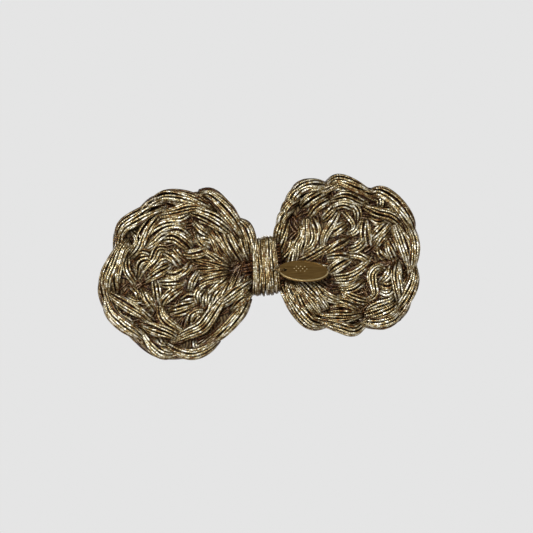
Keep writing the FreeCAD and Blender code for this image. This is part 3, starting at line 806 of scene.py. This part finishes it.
waist_low, waist_high = (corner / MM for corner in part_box("waist"))
lobe("left", (LEFT_EDGING_OUTER, LEFT_EDGING_INNER, LEFT_OUTER_FAN, LEFT_INNER_FAN),
     np.array([waist_low.x - 1.6, 0.3]), 100)
lobe("right", (RIGHT_EDGING_OUTER, RIGHT_EDGING_INNER, RIGHT_OUTER_FAN, RIGHT_INNER_FAN),
     np.array([waist_high.x + 0.6, -1.0]), 200)


# -------- waist and wrap

wrap_low, wrap_high = (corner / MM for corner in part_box("centre_wrap"))

# Half of the wrap's section, from the middle of its face round to the middle of its back:
# shares of its depth from face to back, and of its half height. Its top stands a little prouder.
WRAP_SECTION = [(0.0, 0.0), (0.02, 0.52), (0.13, 0.90), (0.38, 1.0), (0.62, 0.96), (0.86, 0.78),
                (0.985, 0.60), (1.0, 0.0)]
TOP_PROUD = 0.35


def wrap_turn(top, middle, bottom, inset, crown):
    """One closed turn, given by where it crosses the face's top, middle and bottom, inset millimetres
    inside the section and with its face sunk by crown."""
    depth = wrap_high.y - wrap_low.y - 2 * STRAND
    half = (wrap_high.z - wrap_low.z) / 2 - STRAND
    spots = []
    for share, rise in WRAP_SECTION + [(share, -rise) for share, rise in WRAP_SECTION[-2:0:-1]]:
        y = (wrap_low.y + STRAND + depth * share + crown * (1 - share) ** 2
             + 2 * inset * (0.5 - share))
        z = (half - inset - 0.25 * crown + (TOP_PROUD if rise > 0 else 0.0)) * rise
        end = top if rise > 0 else bottom
        x = middle + (end - middle) * abs(rise) ** 1.5 * (1 - 0.6 * share)
        spots.append((x, y, z))
    overlap = spots[:3]
    path = smooth_path(spots + overlap, WRAP_STEP)
    return path[:len(path) - len(smooth_path(overlap, WRAP_STEP))]


def add_turn(threads, share, top, middle, bottom, inset, thinnest, thickest):
    """A turn at its share of the way across the wrap. Its face sinks, least in the middle of the band,
    and its lower end is painted darker as shade."""
    path = wrap_turn(top, middle, bottom, inset, 1.4 * abs(2 * share - 1) ** 2.4)
    # Painted shade towards the bottom of the wrap.
    shade = np.interp(path[:, 2], [wrap_low.z + 0.5, wrap_low.z + 3.0], [0.66, 0.97])
    outward = (path - [0.0, (wrap_low.y + wrap_high.y) / 2, 0.0]) * [0, 1, 1]
    threads.tube(path, WRAP_STRAND * threads.rng.uniform(thinnest, thickest), closed=True,
                 outward=outward, shade=shade)


def centre_wrap():
    """Turns of thread side by side, narrower at the top of the bow than at the bottom, under a few
    looser turns that cross them."""
    threads = Threads(300)
    rng = threads.rng
    turns, crossings, left = 13, 6, wrap_low.x
    for k in range(turns):
        share = k / (turns - 1)
        top, middle, bottom = rng.uniform(-0.18, 0.18, 3)
        add_turn(threads, share, left + 1.1 + 4.9 * share + top, left + 0.3 + 5.8 * share + middle,
                 left - 0.8 + 6.5 * share + bottom, 0.18 + rng.uniform(-0.16, 0.16), 0.86, 1.0)
    for k in range(crossings):
        share = (k + 0.5) / crossings
        top, bottom = rng.uniform(-0.7, 0.9, 2)
        add_turn(threads, share, left + 0.8 + 4.9 * share + top, left + 0.7 + 5.1 * share,
                 left + 0.2 + 5.4 * share - bottom, -0.10, 0.8, 0.92)
    threads.piece("wrap_turns", "root", "centre_wrap")


def waist_threads():
    """The lobes' threads running on through the wrap."""
    threads = Threads(310)
    count, overhang, width, thick = 12, 0.4, 3.0, 1.6
    middle_y = (waist_low.y + waist_high.y) / 2
    for k in range(count):
        angle = 2 * math.pi * k / count
        y = middle_y + 0.27 * (waist_high.y - waist_low.y) * math.cos(angle)
        z = 0.37 * (waist_high.z - waist_low.z) * math.sin(angle)
        path = [(waist_low.x - overhang, y, z), (0.0, y, z * 0.96), (waist_high.x + overhang, y, z)]
        # Painted shade on the threads under the wrap.
        threads.bundle(path, width, thick, pinch=(0.9, 0.9), shade=0.7)
    threads.piece("waist_threads", "root", "waist")


centre_wrap()
waist_threads()


# -------- tag and its loop

def joint(name):
    return next(item for item in frame["joints"] if item["name"] == name)


def tag_axes():
    """The tag's hole, and its long, short and face directions, from its two joints."""
    swing = joint("tag_swing")
    face = Vector(swing["axis"]).normalized()
    flap = -Vector(joint("tag_flap")["axis"]).normalized()
    long_way = Vector(DEPTH_AXIS).cross(flap).normalized()
    return Vector(swing["pos_m"]), long_way, face.cross(long_way).normalized(), face


def ellipse_points(long_half, short_half, count, centre=0.0):
    return [(centre + long_half * math.cos(2 * math.pi * k / count),
             short_half * math.sin(2 * math.pi * k / count)) for k in range(count)]


def flat_ring(name, outlines, half_thick, bevel):
    """A plate from filled outlines in the XY plane, with rounded edges."""
    curve = bpy.data.curves.new(name, "CURVE")
    curve.dimensions = "2D"
    curve.fill_mode = "BOTH"
    curve.extrude = half_thick - bevel
    curve.bevel_depth = bevel
    curve.bevel_resolution = 3
    for outline in outlines:
        spline = curve.splines.new("POLY")
        spline.points.add(len(outline) - 1)
        for point, (x, y) in zip(spline.points, outline):
            point.co = (x, y, 0.0, 1.0)
        spline.use_cyclic_u = True
    thing = new_object(name, curve)
    solid = thing.evaluated_get(bpy.context.evaluated_depsgraph_get())
    mesh = bpy.data.meshes.new_from_object(solid)
    bpy.data.objects.remove(thing)
    return mesh


def spread_along(node, origin, direction):
    """Where a CAD node starts and ends along a direction from origin."""
    runs = [(vert.co - origin) @ direction for vert in frame["nodes"][node].data.vertices]
    return min(runs), max(runs)


def add_beads(work, rows, pitch, radius, middle, height):
    """Low round beads in rows on a plate; each row is its distance up the plate and how many it has."""
    flatness = 0.6
    for row, count in rows:
        for k in range(count):
            made = bmesh.ops.create_uvsphere(work, u_segments=10, v_segments=6, radius=radius)
            for vert in made["verts"]:
                vert.co.x += middle + (k - (count - 1) / 2) * pitch
                vert.co.y += row
                vert.co.z = vert.co.z * flatness + height


def tag_plate():
    """Oval brass plate with a raised border and a small lattice of beads; the paler brass on the border's
    lower half is painted highlight.
    """
    hole, long_way, short_way, face = tag_axes()
    left_end, right_end = spread_along("tag", hole, long_way)
    short_half = spread_along("tag", hole, short_way)[1]
    half_thick = spread_along("tag", hole, face)[1]
    long_half, inset = (right_end - left_end) / 2, (right_end + left_end) / 2
    bevel, hole_radius, border, border_rise = 0.07 * MM, 0.48 * MM, 0.32 * MM, 0.05 * MM
    bead_rows = ((1.20 * MM, 3), (0.55 * MM, 4), (-0.10 * MM, 3))
    bead_pitch, bead_radius, bead_middle = 1.0 * MM, 0.17 * MM, inset - 0.7 * MM

    def oval(margin):
        return ellipse_points(long_half - margin, short_half - margin, 96, inset)
    hole_edge = ellipse_points(hole_radius + bevel, hole_radius + bevel, 40)
    plate = flat_ring("plate", [oval(bevel), hole_edge], half_thick, bevel)
    rim = flat_ring("rim", [oval(1.3 * bevel), oval(border)], border_rise, 0.6 * border_rise)
    work = bmesh.new()
    work.from_mesh(plate)
    plate_verts, plate_faces = len(work.verts), len(work.faces)
    work.from_mesh(rim)
    work.verts.ensure_lookup_table()
    for vert in work.verts[plate_verts:]:
        vert.co.z += half_thick + 0.4 * border_rise
    rim_faces = len(work.faces)
    add_beads(work, bead_rows, bead_pitch, bead_radius, bead_middle, half_thick)
    # The beads take the paler brass, and so does the lower half of the border as painted highlight.
    for index, mesh_face in enumerate(work.faces):
        lit_lower_edge = mesh_face.calc_center_median().y < 0.1 * short_half
        mesh_face.material_index = int(index >= rim_faces or (index >= plate_faces and lit_lower_edge))
    for vert in work.verts:
        vert.co = hole + long_way * vert.co.x + short_way * vert.co.y + face * vert.co.z
    bmesh.ops.recalc_face_normals(work, faces=work.faces)
    mesh = finished_mesh("tag_plate", work)
    mesh.set_sharp_from_angle(angle=math.radians(50))
    place_piece(mesh, "tag_plate", BRASS, "tag_metal", "tag", "tag")
    mesh.materials.append(LIT_AND_WORN_BRASS)


def tag_thread_loop():
    """A ring of thread through the tag's hole and under the wrap's right edge."""
    radius, strand = 1.7, 0.2
    flap = joint("tag_flap")
    centre = np.array(flap["pos_m"]) / MM
    across = unit(np.cross(DEPTH_AXIS, -np.array(flap["axis"])))
    angle = np.linspace(0, 2 * math.pi, 48, endpoint=False)[:, None]
    ring = centre + radius * (np.cos(angle) * across + np.sin(angle) * DEPTH_AXIS)
    threads = Threads(320)
    # Painted shade: the low tint and the shade darken the whole ring.
    threads.tube(ring, strand, closed=True, tint=0.2, shade=0.72)
    threads.piece("tag_thread", "tag_loop", "tag_loop")


tag_plate()
tag_thread_loop()


# -------- clip

def finish_metal(node, bevel):
    """Gives a CAD metal part its plating and the small radii of stamped edges."""
    thing = frame["nodes"][node]
    thing.data.materials.clear()
    thing.data.materials.append(NICKEL)
    edge = thing.modifiers.new("stamped_edges", "BEVEL")
    edge.width = bevel * MM
    edge.segments = 2
    edge.limit_method = "ANGLE"
    edge.angle_limit = math.radians(40)
    edge.harden_normals = True
    thing.data.shade_smooth()


def straight(start, end):
    """Points from just after start to end."""
    return np.array([start + (end - start) * t for t in np.linspace(0, 1, 14)[1:]])


def torsion_spring(hinge, wire):
    """The line of the wire: close turns about the pin and a straight leg along each tail."""
    coil, turns, half_length = 1.5, 4, 1.2
    end_gap, plate_gap = 0.4, 0.02
    low, high = (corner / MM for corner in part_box("torsion_spring"))
    angle = np.linspace(-math.pi / 2, math.pi / 2 + 2 * math.pi * (turns - 1), 96)
    helix = np.column_stack([hinge[0] + coil * np.cos(angle), hinge[1] + coil * np.sin(angle),
                             np.linspace(-half_length, half_length, len(angle))])
    plate_end = np.array([high.x - end_gap, low.y + wire + plate_gap, -half_length])
    tail_end = np.array([high.x - end_gap, high.y - wire - plate_gap, half_length])
    return np.vstack([straight(helix[0], plate_end)[::-1], helix, straight(helix[-1], tail_end)])


def spring_piece():
    """Round wire along the spring's line, in close turns about the pin."""
    wire, bend = 0.38, 1.9
    hinge = np.array(joint("jaw_hinge")["pos_m"]) / MM
    threads = Threads(330)
    threads.tube(respace(torsion_spring(hinge, wire), WIRE_STEP), wire, sides=WIRE_SIDES)
    thing = place_piece(threads.mesh("spring_wire"), "spring_wire", SPRING_STEEL, "spring_wire", None,
                        "torsion_spring")
    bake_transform(thing)


def glue_blob(side):
    """A pressed-out pad of glue with a rounded, uneven edge."""
    node = f"glue_pad_{side}"
    low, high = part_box(node)
    middle, half = (low + high) / 2, (high - low) / 2
    work = bmesh.new()
    bmesh.ops.create_cube(work, size=2.0)
    bmesh.ops.subdivide_edges(work, edges=work.edges, cuts=7, use_grid_fill=True)
    rng = np.random.default_rng(350 + len(side))
    phases = rng.uniform(0, 2 * math.pi, 3)
    for vert in work.verts:
        flat = Vector((vert.co.x, 0, vert.co.z))
        angle = math.atan2(flat.z, flat.x)
        ripple = 1 + 0.05 * math.sin(3 * angle + phases[0]) + 0.04 * math.sin(5 * angle + phases[1])
        square = max(abs(flat.x), abs(flat.z), 1e-6)
        rounding = (square / max(flat.length, 1e-6)) ** 0.6
        bulge = 0.90 + 0.10 * math.sqrt(max(0.0, 1 - vert.co.y**2))
        vert.co.x = middle.x + half.x * flat.x * rounding * ripple * bulge
        vert.co.z = middle.z + half.z * flat.z * rounding * ripple * bulge
        vert.co.y = middle.y + half.y * vert.co.y
    name = node + "_blob"
    place_piece(finished_mesh(name, work), name, GLUE, "glue", "root", node)


for jaw_part, edge_radius in (("upper_jaw", 0.12), ("lower_jaw", 0.10), ("hinge_pin", 0.12)):
    finish_metal(jaw_part, edge_radius)
spring_piece()
glue_blob("left")
glue_blob("right")


# -------- studio

def stage_material():
    """Pale matt floor that fades into the even backdrop away from the object."""
    look = Look("studio_paper")
    look.shader["Base Color"].default_value = (0.80, 0.80, 0.80, 1)
    look.shader["Roughness"].default_value = 0.9
    glow = look.add("Emission", Color=(0.783, 0.783, 0.783, 1), Strength=1.0)
    distance = look.add("VectorMath", operation="LENGTH")
    look.link(look.place, distance.inputs[0])
    fade = look.between(distance.outputs["Value"], interpolation_type="SMOOTHSTEP",
                        From_Min=0.10, From_Max=0.26)
    mix = look.add("MixShader")
    look.link(fade, mix.inputs["Fac"])
    look.link(look.nodes["Principled BSDF"].outputs["BSDF"], mix.inputs[1])
    look.link(glow.outputs["Emission"], mix.inputs[2])
    look.link(mix.outputs["Shader"], look.nodes["Material Output"].inputs["Surface"])
    return look.material


def studio():
    """A floor and a dome round the object, and a faint light from all sides."""
    paper = stage_material()
    bpy.ops.mesh.primitive_circle_add(vertices=96, radius=1.5, fill_type="NGON",
                                      location=(0, 0, -0.13))
    floor = bpy.context.object
    floor.name = "floor"
    bpy.ops.mesh.primitive_uv_sphere_add(segments=64, ring_count=32, radius=1.49)
    dome = bpy.context.object
    dome.name = "backdrop"
    for thing in (floor, dome):
        thing.data.materials.append(paper)
    dome.visible_diffuse = dome.visible_glossy = dome.visible_shadow = False
    world = bpy.data.worlds.new("studio")
    bpy.context.scene.world = world
    world.use_nodes = True
    background = world.node_tree.nodes["Background"].inputs
    background["Color"].default_value = (0.86, 0.82, 0.78, 1)
    background["Strength"].default_value = 0.035


def soft_light(name, place, size, power, colour=(1.0, 1.0, 1.0)):
    """A round lamp, unseen by the camera, turned towards the object."""
    data = bpy.data.lights.new(name, "AREA")
    data.shape = "DISK"
    data.size = size
    data.energy = power
    data.color = colour
    lamp = new_object(name, data)
    lamp.location = place
    lamp.visible_camera = False
    lamp.rotation_mode = "QUATERNION"
    lamp.rotation_quaternion = (-Vector(place)).to_track_quat("-Z", "Y")


def camera():
    """Straight on to the face, rolled so that the bow's right side stands higher, as it lay."""
    frame_width, roll = 0.1306, math.radians(6.7)
    data = bpy.data.cameras.new("camera")
    data.lens = 100.0
    data.sensor_width = 36.0
    data.clip_start = 0.01
    data.clip_end = 10.0
    distance = frame_width / 2 / (data.sensor_width / 2 / data.lens)
    eye = new_object("camera", data)
    eye.rotation_euler = (math.radians(90), roll, 0)
    eye.location = (0, -distance, 0)
    bpy.context.scene.camera = eye


studio()
soft_light("key", (-0.10, -0.55, 0.16), 0.13, 4.2, (1.0, 0.985, 0.96))
soft_light("right", (0.46, -0.26, 0.15), 0.45, 0.60)
soft_light("left", (-0.46, -0.26, 0.15), 0.45, 0.45)
soft_light("low", (0.05, -0.40, -0.35), 0.20, 0.16)
soft_light("top", (0.0, -0.05, 0.55), 0.50, 0.4)
soft_light("back", (0.02, 0.58, 0.03), 0.12, 0.7)
soft_light("back_right", (0.22, 0.52, 0.10), 0.40, 1.4)
soft_light("back_left", (-0.22, 0.52, 0.10), 0.40, 1.4)
camera()
bpy.context.scene.view_settings.view_transform = "Standard"
